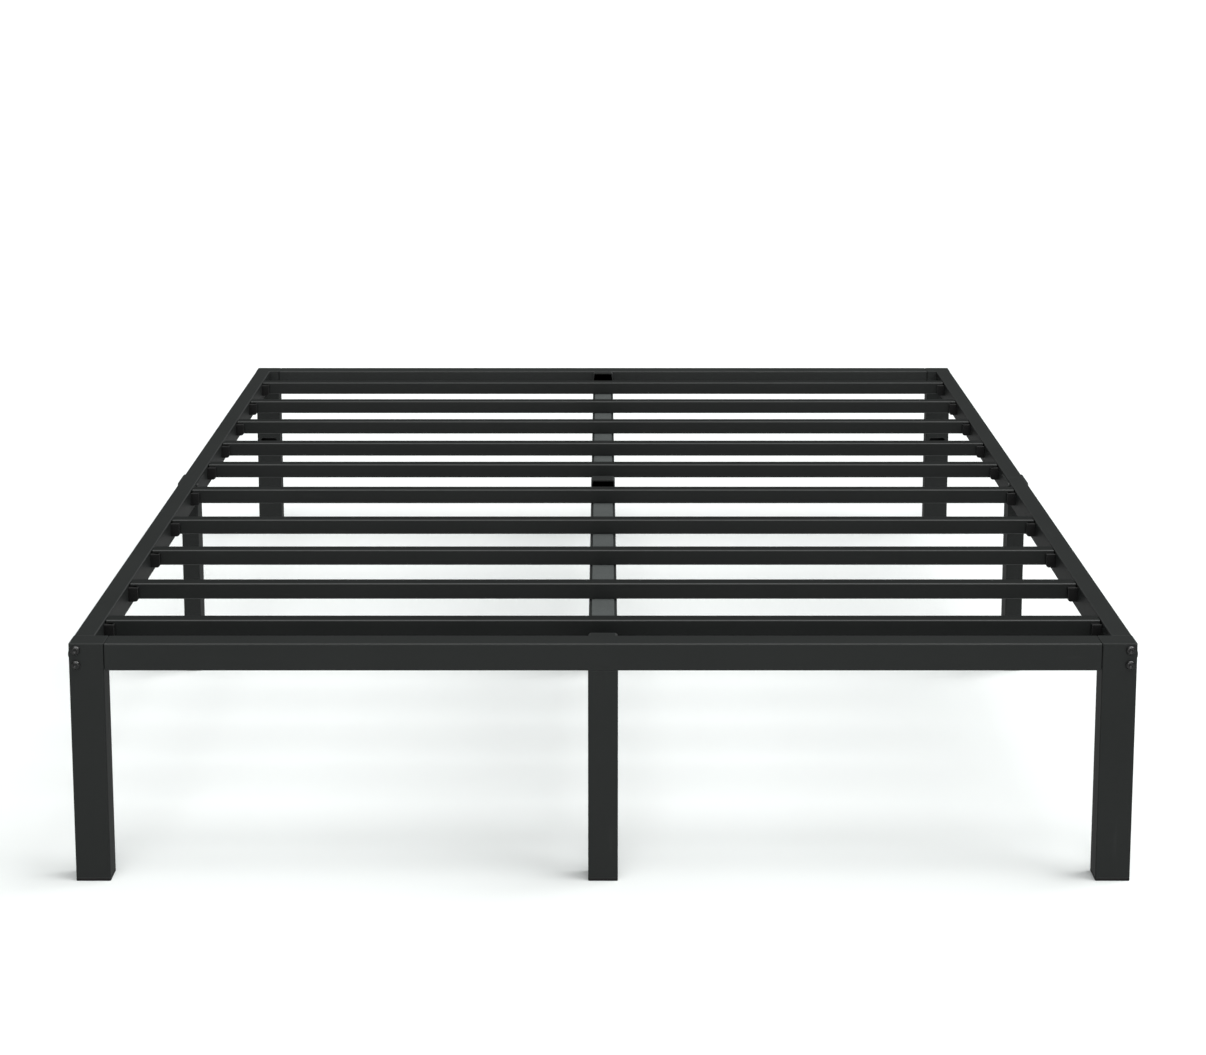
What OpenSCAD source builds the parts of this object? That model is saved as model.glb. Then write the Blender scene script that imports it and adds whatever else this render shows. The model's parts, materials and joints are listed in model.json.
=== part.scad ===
// Knock-down steel platform bed frame.
// The bed's head end is +Y, its foot end is -Y, and the floor is z = 0.
// Millimetres throughout. The origin is on the floor, below the middle of the frame.

/* [Overall] */
// Width over the outer faces of the corner legs and side rails
frame_w = 1524; // [1100:1:1900]
// Length over the outer faces of the end rails
frame_l = 2032; // [1650:1:2500]
// Height of the rail tops and slat tops above the floor
frame_h = 356; // [290:1:480]

/* [Steel tubes] */
// Corner radius of every steel tube
tube_r = 2; // [1.6:0.1:3]
// Corner leg, across the bed
leg_w = 50; // [44:1:64]
// Corner leg and end rail, along the bed
leg_d = 40; // [34:1:50]
// Wall of the legs
leg_wall = 1.5; // [1:0.1:2]
// Height of the end rails and side rails
rail_h = 40; // [38:1:50]
// Wall of the rails
rail_wall = 1.5; // [1:0.1:2]
// Side rail, across the bed
side_w = 30; // [25:1:40]
// Middle side leg, along the bed
side_leg_d = 48; // [36:1:60]
// Centre legs and centre beam, across the bed
beam_w = 43; // [40:1:54]
// Height of the centre beam
beam_h = 30; // [24:1:40]
// Wall of the centre beam
beam_wall = 1.5; // [1:0.1:2]

/* [Slats] */
// Number of slats, an even number
slat_count = 10; // [6:2:10]
// Slat, along the bed
slat_d = 25; // [22:1:36]
// Slat height
slat_h = 25; // [17:1:28]
// Wall of the slats
slat_wall = 1; // [0.8:0.1:1.5]
// First slat's centre line from the foot edge
slat_first = 128; // [95:1:150]
// Last slat's centre line from the head edge
slat_last = 153; // [95:1:190]
// How far the middle pair of slats lies toward the head
slat_middle = 5; // [-10:1:10]
// Gap between each slat end and the side rail
slat_end_gap = 2; // [1:0.5:4]

/* [Slat holders] */
// How far a holder stands out from the side rail
holder_d = 15; // [12:0.5:20]
// Thickness of a holder's walls, in front of and behind the slat
holder_wall = 8; // [5:0.5:10]
// Thickness of a holder's floor, below the slat
holder_floor = 2; // [1.5:0.5:5]
// Drop from the slat top to the holder's top
holder_drop = 4.5; // [3:0.5:6]
// Gap on each side of a slat in its holder
holder_gap = 0.5; // [0.3:0.1:1]
// Diameter of the two pins that hold a holder on the rail
pin_d = 6; // [4:0.5:7]
// Radial gap round a pin
pin_gap = 0.1; // [0.05:0.05:0.3]
// Rounding of the holder's lower corner
holder_r = 5; // [3:0.5:7]

/* [Beam fittings] */
// Depth of the folded bracket at each end of a beam half
bracket_d = 15; // [13:0.5:20]
// Thickness of the bracket's plate and flanges
bracket_t = 3; // [2.5:0.5:4]
// Drop from the rail top to the bracket's top
bracket_drop = 0.5; // [0.5:0.5:2]
// Rounding of the bracket's top corners
bracket_r = 5; // [4:0.5:8]
// Drop from the rail top to the bracket's bolt
bracket_bolt_drop = 12; // [11.5:0.5:12.5]
// Width of the foam strip on the beam
pad_w = 35; // [25:1:38]
// Thickness of the foam strip
pad_t = 2; // [1:0.5:3]
// Gap between a foam strip and the brackets
pad_gap = 1; // [0.5:0.5:5]

/* [Middle joint] */
// Distance of the middle joint from mid-length, towards the foot
joint_offset = 13; // [0:1:20]
// Length of the saddle on top of a middle side leg
saddle_l = 75; // [70:1:80]
// Thickness of the saddle's plates
saddle_t = 3; // [2:0.5:4]
// Drop from the rail top to the saddle's top
saddle_drop = 2; // [1:0.5:5]
// Gap between the saddle and the faces of the rail
saddle_gap = 0.3; // [0.1:0.1:0.6]
// Rounding of the saddle's top corners
saddle_r = 6; // [2:1:10]
// Distance of each saddle bolt from the joint
saddle_bolt_y = 26; // [22:1:28]
// Length of the sleeve inside the joint of a side rail
sleeve_l = 140; // [100:1:160]
// Wall of the sleeve
sleeve_wall = 2; // [1.5:0.5:2.5]
// Gap between the sleeve and the inside of the rail
sleeve_gap = 0.3; // [0.1:0.1:0.5]
// Length of the plate on top of the middle centre leg
crown_l = 110; // [100:1:140]
// Thickness of the closing plates on the legs and the rail ends
plate_t = 3; // [2:0.5:4]
// Distance of each crown plate bolt from the joint
crown_bolt_y = 40; // [36:1:44]

/* [Fasteners] */
// Thread diameter of the bolts
bolt_d = 8; // [6:1:8]
// Diameter of a bolt's button head
head_d = 14; // [12:0.5:14]
// Height of a bolt's button head
head_h = 4.4; // [3:0.1:5]
// Width across the flats of the hex socket
socket_af = 5; // [4:0.5:6]
// Depth of the hex socket
socket_depth = 2.6; // [1.5:0.1:3]
// Width across the flats of a nut
nut_af = 13; // [10:0.5:13]
// Height of a nut
nut_h = 6.5; // [5:0.1:6.5]
// Length of thread that stands out past a nut
bolt_spare = 2; // [0:0.5:3]
// Radial gap round a bolt in its clearance hole
hole_gap = 0.25; // [0.1:0.05:0.5]
// Radial gap between a bolt's thread and its nut
thread_gap = 0.05; // [0.02:0.01:0.1]
// Inset of the side rail bolts from the leg's outer face
bolt_inset = 10; // [10:0.5:13]
// Drop from the rail top to the upper side rail bolt
bolt_high = 10; // [9.5:0.5:11]
// Drop from the rail top to the lower side rail bolt
bolt_low = 31.5; // [29:0.5:31.5]

/* [Headboard slots] */
// Overall length of a slot, across the bed
slot_l = 34; // [20:1:36]
// Height of a slot
slot_w = 8.5; // [7:0.5:10]
// Drop from the rail top to the upper slot
slot_drop = 78; // [70:1:90]
// Spacing of the upper and lower slots
slot_pitch = 76; // [50:1:100]

/* [Glides] */
// Visible height of a glide below the leg
glide_h = 4.5; // [3:0.5:8]
// Height of the glide's plug inside the leg
plug_h = 16; // [10:1:25]
// Wall of the plug
plug_wall = 2; // [1.5:0.5:3]
// Gap between the plug and the leg's wall
plug_gap = 0.2; // [0.1:0.05:0.4]

/* [Hidden] */
$fn = 48;
eps = 1;
steel = "#303335";
plastic = "#18191a";
foam = "#7b7f81";
zinc = "#3b3d3f";

sides = [-1, 1];
ends = [-1, 1];
joint_y = -joint_offset;
side_in = frame_w / 2 - side_w;
end_in = frame_l / 2 - leg_d;
end_rail_l = frame_w - 2 * leg_w;
rail_bottom = frame_h - rail_h;
rail_mid = frame_h - rail_h / 2;
slat_bottom = frame_h - slat_h;
beam_top = slat_bottom - pad_t;
beam_bottom = beam_top - beam_h;
slat_l = 2 * (side_in - slat_end_gap);
end_bolt_drop = (bolt_high + bolt_low) / 2;
hole_r = bolt_d / 2 + hole_gap;
slat_pitch = (frame_l - slat_first - slat_last) / (slat_count - 1);
slat_group = slat_count / 2 - 1;
slat_ys = concat(
    [for (i = [0 : slat_group - 1]) -frame_l / 2 + slat_first + i * slat_pitch],
    [slat_middle - slat_pitch / 2, slat_middle + slat_pitch / 2],
    [for (i = [slat_group - 1 : -1 : 0]) frame_l / 2 - slat_last - i * slat_pitch]
);

// Corners, rail halves and ends are drawn once, at +X and +Y, and mirrored into place.
function side_name(side) = side < 0 ? "left" : "right";
function end_name(end) = end < 0 ? "foot" : "head";
function corner_name(kind, side, end) = str(kind, "_", end_name(end), "_", side_name(side));
function slat_name(i) = str("slat_", i < 9 ? "0" : "", i + 1);
function half_slats(end) = [for (y = slat_ys) if (end * (y - joint_y) > 0) end * y];

// Shared shapes

module place(side, end) {
    mirror([side < 0 ? 1 : 0, 0, 0]) mirror([0, end < 0 ? 1 : 0, 0]) children();
}

module rounded_rect(w, h, r) {
    square([w - 2 * r, h], center = true);
    square([w, h - 2 * r], center = true);
    for (x = [-1, 1]) for (y = [-1, 1])
        translate([x * (w / 2 - r), y * (h / 2 - r)]) circle(r);
}

// A tube along +Z, centred on the axis
module tube(w, h, l, wall) {
    linear_extrude(l) difference() {
        rounded_rect(w, h, tube_r);
        rounded_rect(w - 2 * wall, h - 2 * wall, tube_r - wall > 0.1 ? tube_r - wall : 0.1);
    }
}

module plate(w, h, t) {
    linear_extrude(t) rounded_rect(w, h, tube_r);
}

// Turns +Z to +Y. A profile's second axis becomes the height.
module along_y() {
    rotate([-90, 0, 0]) children();
}

// Turns +Z to +X. A profile's first axis becomes the height.
module along_x() {
    rotate([0, 90, 0]) children();
}

// A clearance hole along +Z, from just below the start
module hole(l) {
    translate([0, 0, -eps]) cylinder(h = l + 2 * eps, r = hole_r);
}

// A button-head bolt: the head stands above z = 0 and the shank runs down
module bolt(l) {
    dome_r = (head_d * head_d / 4 + head_h * head_h) / (2 * head_h);
    difference() {
        union() {
            intersection() {
                cylinder(h = head_h, r = head_d / 2);
                translate([0, 0, head_h - dome_r]) sphere(dome_r);
            }
            translate([0, 0, -l]) cylinder(h = l + head_h / 2, r = bolt_d / 2);
        }
        translate([0, 0, head_h - socket_depth])
            cylinder(h = socket_depth + eps, d = socket_af / cos(30), $fn = 6);
    }
}

// A nut that starts at z = 0 and runs down, with two flats facing along Y
module nut() {
    translate([0, 0, -nut_h]) difference() {
        cylinder(h = nut_h, d = nut_af / cos(30), $fn = 6);
        translate([0, 0, -eps]) cylinder(h = nut_h + 2 * eps, r = bolt_d / 2 + thread_gap);
    }
}

// Legs and glides

module corner_leg(side, end) {
    color(steel) place(side, end)
    translate([frame_w / 2 - leg_w / 2, frame_l / 2 - leg_d / 2, 0]) difference() {
        union() {
            translate([0, 0, glide_h]) tube(leg_w, leg_d, frame_h - glide_h, leg_wall);
            translate([0, 0, frame_h - plate_t]) plate(leg_w, leg_d, plate_t);
        }
        for (drop = [bolt_high, bolt_low])
            translate([leg_w / 2 - bolt_inset, -leg_d / 2, frame_h - drop]) along_y() hole(leg_d);
        translate([-leg_w / 2, 0, frame_h - end_bolt_drop]) along_x() hole(leg_w);
        if (end > 0)
            for (drop = [slot_drop, slot_drop + slot_pitch])
                translate([0, -leg_d / 2 - eps, frame_h - drop]) headboard_slot();
    }
}

module headboard_slot() {
    run = slot_l - slot_w;
    along_y() linear_extrude(leg_d + 2 * eps) {
        square([run, slot_w], center = true);
        for (x = [-1, 1]) translate([x * run / 2, 0]) circle(slot_w / 2);
    }
}

// The saddle is welded on the leg and takes both halves of the side rail.
module side_leg(side) {
    saddle_w = side_w + 2 * (saddle_gap + saddle_t);
    saddle_h = rail_h + saddle_t - saddle_drop;
    color(steel) place(side, 1)
    translate([frame_w / 2 - side_w / 2, joint_y, 0]) {
        translate([0, 0, glide_h])
            tube(side_w, side_leg_d, rail_bottom - saddle_t - glide_h, leg_wall);
        difference() {
            translate([-saddle_w / 2, 0, rail_bottom - saddle_t])
                along_x() linear_extrude(saddle_w) saddle_outline(saddle_h);
            translate([-side_w / 2 - saddle_gap, -saddle_l / 2 - eps, rail_bottom])
                cube([side_w + 2 * saddle_gap, saddle_l + 2 * eps, rail_h + eps]);
            for (y = [-1, 1])
                translate([0, y * saddle_bolt_y, rail_mid]) along_x() hole(saddle_w);
        }
    }
}

// The saddle seen from its side: first axis downwards, second along the bed
module saddle_outline(h) {
    translate([-h / 2, 0]) rounded_rect(h, saddle_l, saddle_r);
    translate([-h / 2, -saddle_l / 2]) square([h / 2, saddle_l]);
}

// Below an end rail, flush with its outer face
module centre_leg(end) {
    color(steel) place(1, end)
    translate([0, frame_l / 2 - leg_d / 2, 0]) difference() {
        union() {
            translate([0, 0, glide_h]) tube(beam_w, leg_d, rail_bottom - glide_h, leg_wall);
            translate([0, 0, rail_bottom - plate_t]) plate(beam_w, leg_d, plate_t);
        }
        translate([0, 0, rail_bottom - plate_t]) hole(plate_t);
    }
}

// Below the joint of the centre beam, with a crown plate bolted to both halves
module middle_centre_leg() {
    color(steel) translate([0, joint_y, 0]) difference() {
        union() {
            translate([0, 0, glide_h]) tube(beam_w, leg_d, beam_bottom - plate_t - glide_h, leg_wall);
            translate([0, 0, beam_bottom - plate_t]) plate(beam_w, crown_l, plate_t);
        }
        for (y = [-1, 1])
            translate([0, y * crown_bolt_y, beam_bottom - plate_t]) hole(plate_t);
    }
}

module glide(w, d) {
    plug_inset = 2 * (leg_wall + plug_gap);
    color(plastic) {
        plate(w, d, glide_h);
        translate([0, 0, glide_h - eps]) linear_extrude(plug_h + eps) difference() {
            square([w - plug_inset, d - plug_inset], center = true);
            square([w - plug_inset - 2 * plug_wall, d - plug_inset - 2 * plug_wall], center = true);
        }
    }
}

module corner_glide(side, end) {
    place(side, end) translate([frame_w / 2 - leg_w / 2, frame_l / 2 - leg_d / 2, 0]) glide(leg_w, leg_d);
}

module side_glide(side) {
    place(side, 1) translate([frame_w / 2 - side_w / 2, joint_y, 0]) glide(side_w, side_leg_d);
}

module centre_glide(end) {
    place(1, end) translate([0, frame_l / 2 - leg_d / 2, 0]) glide(beam_w, leg_d);
}

// Rails

module end_rail(end) {
    color(steel) place(1, end)
    translate([0, frame_l / 2 - leg_d / 2, rail_mid]) difference() {
        union() {
            translate([-end_rail_l / 2, 0, 0]) along_x() tube(rail_h, leg_d, end_rail_l, rail_wall);
            for (side = sides)
                translate([side * (end_rail_l - plate_t) / 2 - plate_t / 2, 0, 0])
                    along_x() plate(rail_h, leg_d, plate_t);
        }
        translate([-end_rail_l / 2, 0, rail_h / 2 - end_bolt_drop]) along_x() hole(end_rail_l);
        translate([0, -leg_d / 2, rail_h / 2 - bracket_bolt_drop]) along_y() hole(rail_wall);
        translate([0, 0, -rail_h / 2]) hole(rail_wall);
    }
}

module side_rail(side, end) {
    start_y = end * joint_y;
    length = end_in - start_y;
    color(steel) place(side, end)
    translate([frame_w / 2 - side_w / 2, start_y, rail_mid]) difference() {
        union() {
            along_y() tube(side_w, rail_h, length, rail_wall);
            translate([0, length - plate_t, 0]) along_y() plate(side_w, rail_h, plate_t);
        }
        for (drop = [bolt_high, bolt_low])
            translate([side_w / 2 - bolt_inset, length - plate_t, rail_h / 2 - drop])
                along_y() hole(plate_t);
        translate([side_w / 2 - rail_wall, saddle_bolt_y, 0]) along_x() hole(rail_wall);
        for (y = half_slats(end)) for (dy = pin_ys())
            translate([-side_w / 2 - eps, y - start_y + dy, pin_z() - rail_mid])
                along_x() cylinder(h = rail_wall + 2 * eps, r = pin_d / 2 + pin_gap);
    }
}

module rail_sleeve(side) {
    w = side_w - 2 * (rail_wall + sleeve_gap);
    h = rail_h - 2 * (rail_wall + sleeve_gap);
    color(steel) place(side, 1)
    translate([frame_w / 2 - side_w / 2, joint_y - sleeve_l / 2, rail_mid]) difference() {
        along_y() tube(w, h, sleeve_l, sleeve_wall);
        for (y = [-1, 1])
            translate([w / 2 - sleeve_wall, sleeve_l / 2 + y * saddle_bolt_y, 0])
                along_x() hole(sleeve_wall);
    }
}

// Slat holders and slats

function holder_half() = slat_d / 2 + holder_gap + holder_wall;
function pin_ys() = [-slat_d / 4, slat_d / 4];
function pin_z() = slat_bottom - holder_floor + pin_d / 2 + 1;

module slat_holders(side, end) {
    color(plastic) place(side, end)
        for (y = half_slats(end)) translate([side_in, y, 0]) slat_holder();
}

// One holder stands out from the rail's inner face at x = 0 towards -X.
module slat_holder() {
    low = slat_bottom - holder_floor;
    height = frame_h - holder_drop - low;
    reach = slat_end_gap / 2;
    difference() {
        translate([0, -holder_half(), low]) along_y() linear_extrude(2 * holder_half())
            holder_outline(height);
        translate([-holder_d - eps, -slat_d / 2 - holder_gap, slat_bottom])
            cube([holder_d - reach + eps, slat_d + 2 * holder_gap, slat_h]);
    }
    for (dy = pin_ys())
        translate([-reach / 2, dy, pin_z()])
            along_x() cylinder(h = reach / 2 + rail_wall + sleeve_gap / 2, r = pin_d / 2);
}

// The holder seen along the bed: first axis across, second downwards
module holder_outline(height) {
    translate([-holder_d, -height]) square([holder_d, height - holder_r]);
    translate([-holder_d + holder_r, -holder_r - eps]) square([holder_d - holder_r, holder_r + eps]);
    translate([-holder_d + holder_r, -holder_r]) circle(holder_r);
}

module slat(i) {
    color(steel) translate([-slat_l / 2, slat_ys[i], frame_h - slat_h / 2])
        along_x() tube(slat_h, slat_d, slat_l, slat_wall);
}

// Centre beam

module centre_beam(end) {
    start_y = end * joint_y;
    length = end_in - start_y;
    color(steel) place(1, end) difference() {
        union() {
            translate([0, start_y + bracket_t / 2, beam_top - beam_h / 2])
                along_y() tube(beam_w, beam_h, length - bracket_t, beam_wall);
            translate([0, start_y, 0]) beam_bracket();
            translate([0, end_in, 0]) mirror([0, 1, 0]) beam_bracket();
        }
        translate([0, start_y + crown_bolt_y, beam_bottom]) hole(beam_wall);
    }
}

// The bracket's plate is at y = 0 and its flanges fold towards +Y over the beam.
module beam_bracket() {
    top = frame_h - bracket_drop;
    difference() {
        union() {
            translate([0, 0, beam_bottom]) along_y() linear_extrude(bracket_t)
                bracket_outline(beam_w, top - beam_bottom, bracket_r);
            translate([0, 0, beam_top - beam_wall]) along_y() linear_extrude(bracket_d) difference() {
                bracket_outline(beam_w, top - beam_top + beam_wall, bracket_r);
                translate([0, eps]) bracket_outline(
                    beam_w - 2 * bracket_t,
                    top - beam_top + beam_wall - bracket_t + eps,
                    bracket_r - bracket_t
                );
            }
        }
        translate([0, 0, frame_h - bracket_bolt_drop]) along_y() hole(bracket_t);
    }
}

// An outline that stands on z = 0 with its top corners rounded; its second axis is downwards
module bracket_outline(w, h, r) {
    translate([-w / 2, -h + r]) square([w, h - r]);
    translate([-w / 2 + r, -h]) square([w - 2 * r, h]);
    for (x = [-1, 1]) translate([x * (w / 2 - r), -h + r]) circle(r);
}

module beam_pad(end) {
    start_y = end * joint_y + bracket_d + pad_gap;
    color(foam) place(1, end)
        translate([-pad_w / 2, start_y, beam_top])
            cube([pad_w, end_in - bracket_d - pad_gap - start_y, pad_t]);
}

// Fasteners

// Where each side rail bolt meets the outer face of a corner leg
module at_side_rail_bolts() {
    for (side = sides) for (end = ends) for (drop = [bolt_high, bolt_low])
        place(side, end)
        translate([frame_w / 2 - bolt_inset, frame_l / 2, frame_h - drop]) along_y() children();
}

module side_rail_bolts() {
    color(zinc) at_side_rail_bolts() bolt(leg_d + plate_t + nut_h + bolt_spare);
}

module side_rail_nuts() {
    color(zinc) at_side_rail_bolts() translate([0, 0, -leg_d - plate_t]) nut();
}

// Where each end rail bolt meets the side face of a corner leg
module at_end_rail_bolts() {
    for (side = sides) for (end = ends)
        place(side, end)
        translate([frame_w / 2, frame_l / 2 - leg_d / 2, frame_h - end_bolt_drop]) along_x() children();
}

module end_rail_bolts() {
    color(zinc) at_end_rail_bolts() bolt(leg_w + plate_t + nut_h + bolt_spare);
}

module end_rail_nuts() {
    color(zinc) at_end_rail_bolts() translate([0, 0, -leg_w - plate_t]) nut();
}

// Where each saddle bolt meets the outer face of a saddle
module at_saddle_bolts() {
    for (side = sides) for (y = [-1, 1])
        place(side, 1)
        translate([frame_w / 2 + saddle_gap + saddle_t, joint_y + y * saddle_bolt_y, rail_mid])
            along_x() children();
}

saddle_grip = saddle_t + saddle_gap + rail_wall + sleeve_gap + sleeve_wall;

module saddle_bolts() {
    color(zinc) at_saddle_bolts() bolt(saddle_grip + nut_h + bolt_spare);
}

module saddle_nuts() {
    color(zinc) at_saddle_bolts() translate([0, 0, -saddle_grip]) nut();
}

// Each end of the beam is bolted to an end rail from inside the bracket.
module at_beam_end_bolts() {
    for (end = ends)
        place(1, end)
        translate([0, end_in - bracket_t, frame_h - bracket_bolt_drop])
            rotate([90, 0, 0]) children();
}

module beam_bolts() {
    color(zinc) {
        at_beam_end_bolts() bolt(bracket_t + rail_wall + nut_h + bolt_spare);
        translate([0, joint_y - bracket_t, frame_h - bracket_bolt_drop])
            rotate([90, 0, 0]) bolt(2 * bracket_t + nut_h + bolt_spare);
    }
}

module beam_nuts() {
    color(zinc) {
        at_beam_end_bolts() translate([0, 0, -bracket_t - rail_wall]) nut();
        translate([0, joint_y + bracket_t, frame_h - bracket_bolt_drop]) rotate([90, 0, 0]) nut();
    }
}

// The bolts of the centre legs point up, with their heads below the plates.
module at_centre_leg_bolts() {
    for (end = ends)
        translate([0, end * (frame_l / 2 - leg_d / 2), rail_bottom - plate_t])
            rotate([180, 0, 0]) children(0);
    for (y = [-1, 1])
        translate([0, joint_y + y * crown_bolt_y, beam_bottom - plate_t])
            rotate([180, 0, 0]) children(1);
}

module centre_leg_bolts() {
    color(zinc) at_centre_leg_bolts() {
        bolt(plate_t + rail_wall + nut_h + bolt_spare);
        bolt(plate_t + beam_wall + nut_h + bolt_spare);
    }
}

module centre_leg_nuts() {
    color(zinc) at_centre_leg_bolts() {
        translate([0, 0, -plate_t - rail_wall]) nut();
        translate([0, 0, -plate_t - beam_wall]) nut();
    }
}

// Nodes

for (end = ends) for (side = sides) {
    corner_leg(side, end);
    corner_glide(side, end);
    side_rail(side, end);
    slat_holders(side, end);
}
for (side = sides) {
    side_leg(side);
    side_glide(side);
    rail_sleeve(side);
}
for (end = ends) {
    centre_leg(end);
    centre_glide(end);
    end_rail(end);
    centre_beam(end);
    beam_pad(end);
}
middle_centre_leg();  // leg_centre_mid
translate([0, joint_y, 0]) glide(beam_w, leg_d);  // glide_centre_mid
for (i = [0 : slat_count - 1])
    slat(i);
side_rail_bolts();
side_rail_nuts();
end_rail_bolts();
end_rail_nuts();
saddle_bolts();
saddle_nuts();
beam_bolts();
beam_nuts();
centre_leg_bolts();
centre_leg_nuts();
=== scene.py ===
"""Looks of a knock-down steel platform bed frame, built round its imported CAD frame.

Metres throughout. The head end is +Y, the foot end is -Y, and the floor is z = 0.
"""

import json
import logging
import math
import random
from collections.abc import Callable, Iterator, Sequence
from dataclasses import dataclass
from enum import Enum

import bmesh
import bpy
from mathutils import Matrix, Vector

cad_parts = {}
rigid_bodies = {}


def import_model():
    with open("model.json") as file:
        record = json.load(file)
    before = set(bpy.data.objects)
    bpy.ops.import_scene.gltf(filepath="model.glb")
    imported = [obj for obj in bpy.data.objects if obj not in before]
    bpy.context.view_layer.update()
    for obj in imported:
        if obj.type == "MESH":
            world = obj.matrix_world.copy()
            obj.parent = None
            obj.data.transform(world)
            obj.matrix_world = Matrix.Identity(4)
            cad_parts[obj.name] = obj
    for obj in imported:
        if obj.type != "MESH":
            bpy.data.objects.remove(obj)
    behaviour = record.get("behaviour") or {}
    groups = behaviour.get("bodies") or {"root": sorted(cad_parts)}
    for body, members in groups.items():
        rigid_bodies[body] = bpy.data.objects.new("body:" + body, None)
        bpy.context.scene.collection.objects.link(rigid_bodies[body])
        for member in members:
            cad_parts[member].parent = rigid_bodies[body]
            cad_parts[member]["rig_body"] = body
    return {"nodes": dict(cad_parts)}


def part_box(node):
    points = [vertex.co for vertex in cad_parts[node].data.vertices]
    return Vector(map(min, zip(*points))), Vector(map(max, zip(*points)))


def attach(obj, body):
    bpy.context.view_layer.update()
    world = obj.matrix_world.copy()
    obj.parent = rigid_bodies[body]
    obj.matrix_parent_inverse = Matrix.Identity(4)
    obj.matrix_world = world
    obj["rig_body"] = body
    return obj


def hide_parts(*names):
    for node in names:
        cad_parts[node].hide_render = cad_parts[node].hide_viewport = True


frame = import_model()

LOG = logging.getLogger("bed_frame")
MILLIMETRE = 0.001
TURN = 2 * math.pi
MERGE = 1e-6
FLAT_ANGLE = math.radians(1)
SHARP_ANGLE = math.radians(35)
# The mask of edges and corners that the finishes paint lighter, as a painted highlight.
LIT_EDGE_MASK = "lit_edge_mask"
ON_AXIS = 0.97
DOWN = Vector((0, 0, -1))

Colour = tuple[float, float, float, float]
Point = tuple[float, float]
Rule = Callable[[float], float]
Ring = tuple[float | Rule, float | Rule]


class Slot(Enum):
    """The record's material slots."""

    FRAME_STEEL = "frame_steel"
    SLAT_STEEL = "slat_steel"
    SLEEVE_STEEL = "sleeve_steel"
    HOLDER_PLASTIC = "holder_plastic"
    GLIDE_PLASTIC = "glide_plastic"
    FOAM_STRIP = "foam_strip"
    BOLT_BLACK = "bolt_black"
    NUT_ZINC = "nut_zinc"


# Shader graphs


class Value:
    """A node's output that varies over a surface. Arithmetic on it adds Math nodes."""

    def __init__(self, graph: "Graph", socket: bpy.types.NodeSocket) -> None:
        """Wraps a socket.

        Args:
            graph: The graph that holds the socket's node.
            socket: The output socket.
        """
        self.graph = graph
        self.socket = socket

    def __add__(self, other: "Value | float") -> "Value":
        """Adds a value or a number."""
        return self.graph.math("ADD", self, other)

    def __radd__(self, other: float) -> "Value":
        """Adds this to a number."""
        return self.graph.math("ADD", other, self)

    def __sub__(self, other: "Value | float") -> "Value":
        """Takes a value or a number away."""
        return self.graph.math("SUBTRACT", self, other)

    def __rsub__(self, other: float) -> "Value":
        """Takes this away from a number."""
        return self.graph.math("SUBTRACT", other, self)

    def __mul__(self, other: "Value | float") -> "Value":
        """Multiplies by a value or a number."""
        return self.graph.math("MULTIPLY", self, other)

    def clamped(self) -> "Value":
        """Holds the value between 0 and 1."""
        return self.graph.node("ShaderNodeClamp", {}, {0: self})


Input = Value | float | Sequence[float]


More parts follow.
